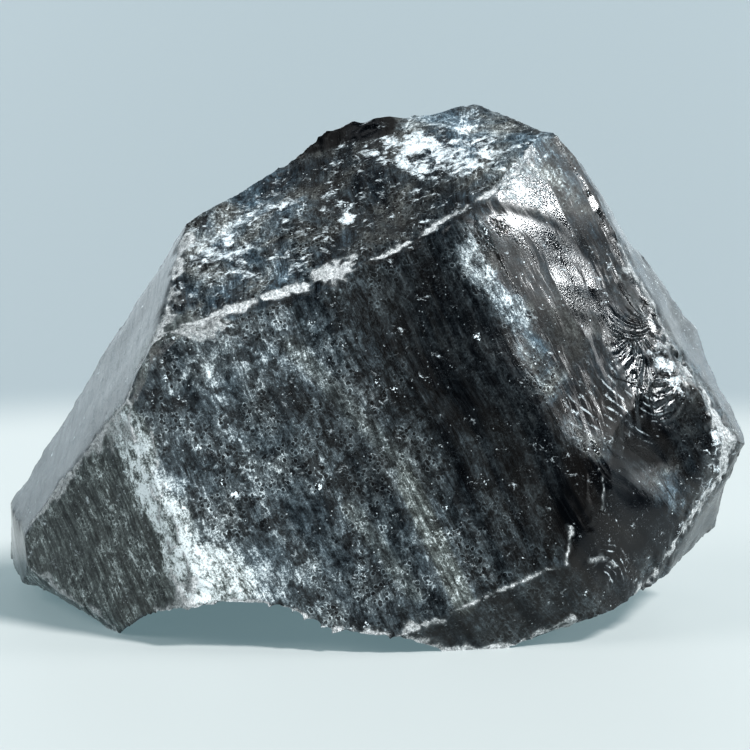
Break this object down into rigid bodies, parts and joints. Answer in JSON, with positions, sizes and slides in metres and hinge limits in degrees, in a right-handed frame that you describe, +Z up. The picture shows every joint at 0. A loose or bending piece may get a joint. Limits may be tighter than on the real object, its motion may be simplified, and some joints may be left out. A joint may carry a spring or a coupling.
{
  "type": "rough chunk of snowflake obsidian",
  "caption": "Rough broken chunk of dark volcanic glass with a broad front face, shell-shaped fractures and a hollow underside.",
  "frame": {"origin": "middle of the chunk's bounding box, at the level of the patches that it rests on", "axes": "+Z up, +X along the chunk's length toward its blunt end, -Y out of its broad face"},
  "size_m": [0.125, 0.076, 0.0831],
  "materials": {
    "obsidian": "gloss"
  },
  "bodies": {
    "root": {"stone": "obsidian"}
  },
  "joints": []
}
